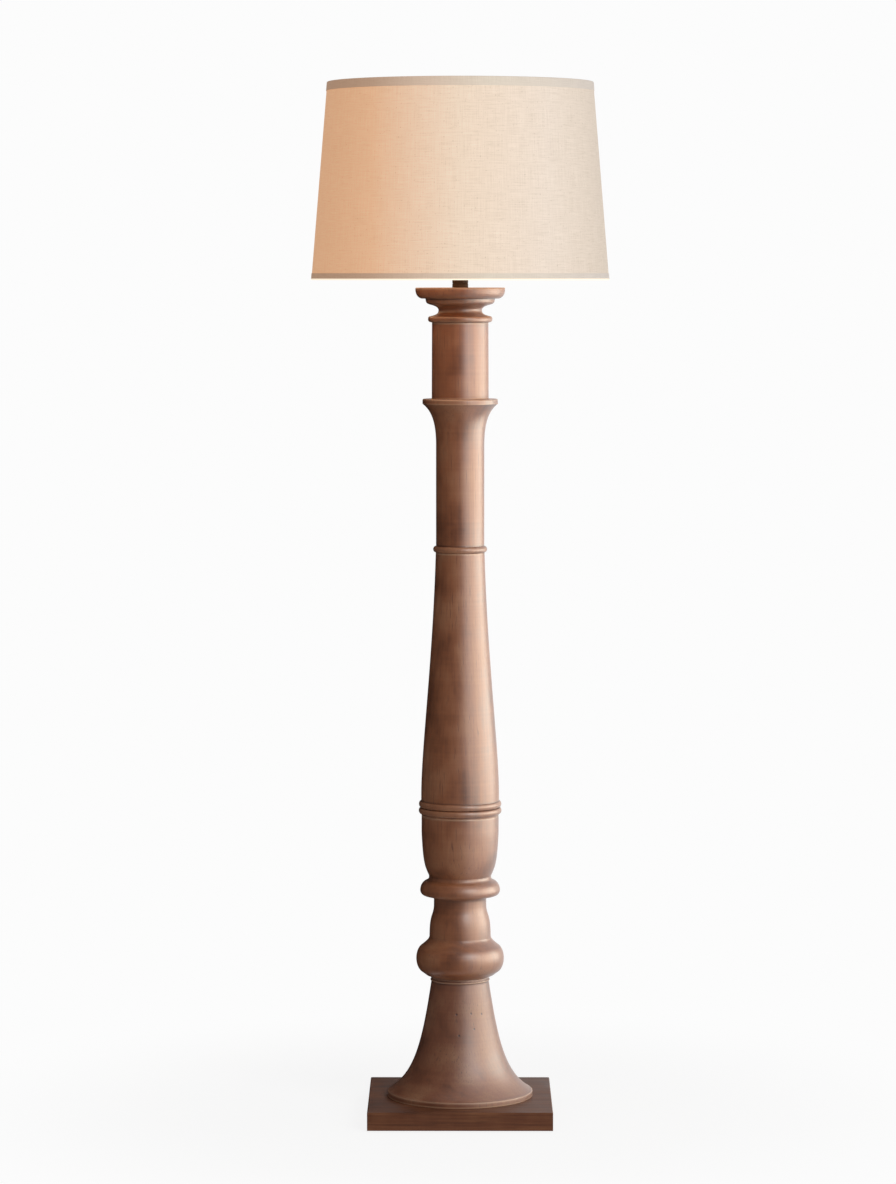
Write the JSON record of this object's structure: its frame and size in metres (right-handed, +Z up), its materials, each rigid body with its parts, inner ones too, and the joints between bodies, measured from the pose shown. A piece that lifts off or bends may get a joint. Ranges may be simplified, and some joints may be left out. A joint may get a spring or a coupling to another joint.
{
  "type": "floor lamp",
  "caption": "Candlestick floor lamp: turned wooden column on a weighted square plinth, with a harp, a turn-switch lamp holder and a tapered linen drum shade.",
  "frame": {"origin": "on the floor, under the middle of the column", "axes": "+Z up along the column, -Y towards the front, with the cord inlet at the back (+Y)"},
  "size_m": [0.4509, 0.4508, 1.5726],
  "materials": {
    "plinth_wood": "stained and waxed, darker than the column",
    "column_wood": "turned hardwood, pinkish brown, satin wax",
    "hardboard": "smooth brown hardboard",
    "cast_iron": "as cast, black paint",
    "zinc_steel": "zinc plated",
    "brass": "plain brass, lightly brushed",
    "dark_bronze": "dark bronze, satin",
    "felt": "brown felt",
    "black_moulding": "black phenolic moulding",
    "fibre": "vulcanised fibre sleeve",
    "nickel": "nickel-plated sheet",
    "bulb_glass": "inside-frosted glass",
    "tungsten": "fine wire",
    "frame_wire": "off-white coated steel wire",
    "styrene": "stiff translucent sheet",
    "linen": "oatmeal linen weave",
    "tape": "taupe cotton tape"
  },
  "bodies": {
    "stand": {"plinth": "plinth_wood", "ballast_weight": "cast_iron", "foot_screws": "zinc_steel", "bottom_board": "hardboard", "board_screws": "zinc_steel", "felt_pads": "felt", "cord_bush": "black_moulding", "foot_bell": "column_wood", "knop_vase": "column_wood", "flange_cup": "column_wood", "tapered_shaft": "column_wood", "upper_column": "column_wood", "column_drum": "column_wood", "capital": "column_wood", "lamp_pipe": "zinc_steel", "pipe_washer": "zinc_steel", "pipe_nut": "zinc_steel", "bronze_neck": "dark_bronze", "harp_saddle": "brass", "harp_wire": "brass", "harp_stud": "brass", "holder_cap": "brass", "cap_screw": "zinc_steel", "holder_shell": "brass", "holder_liner": "fibre", "holder_interior": "black_moulding", "terminal_screws": "brass", "screw_shell": "nickel", "centre_contact": "brass"},
    "left_lock": {"left_sleeve": "brass"},
    "right_lock": {"right_sleeve": "brass"},
    "switch": {"switch_spindle": "brass", "switch_cam": "fibre", "switch_knob": "black_moulding"},
    "bulb": {"bulb_cap": "nickel", "bulb_insulator": "black_moulding", "bulb_tip": "nickel", "bulb_glass": "bulb_glass", "bulb_stem": "bulb_glass", "bulb_filament": "tungsten"},
    "shade": {"shade_fitter": "frame_wire", "bottom_ring": "frame_wire", "shade_backing": "styrene", "linen_cover": "linen", "top_tape": "tape", "bottom_tape": "tape"},
    "finial_nut": {"finial": "brass"}
  },
  "joints": [
    {"name": "switch_turn", "type": "hinge", "parent": "stand", "child": "switch", "pos_m": [0, -0.0228, 1.3151], "axis": [0, -1, 0], "continuous": true},
    {"name": "bulb_turn", "type": "hinge", "parent": "stand", "child": "bulb", "pos_m": [0, 0, 1.3381], "axis": [0, 0, 1], "range_deg": [0, 1440]},
    {"name": "shade_turn", "type": "hinge", "parent": "stand", "child": "shade", "pos_m": [0, 0, 1.5446], "axis": [0, 0, 1], "continuous": true},
    {"name": "finial_turn", "type": "hinge", "parent": "stand", "child": "finial_nut", "pos_m": [0, 0, 1.5486], "axis": [0, 0, 1], "range_deg": [0, 3600]},
    {"name": "left_sleeve_slide", "type": "slide", "parent": "stand", "child": "left_lock", "axis": [0, 0, 1], "range_m": [0, 0.014]},
    {"name": "right_sleeve_slide", "type": "slide", "parent": "stand", "child": "right_lock", "axis": [0, 0, 1], "range_m": [0, 0.014]}
  ]
}
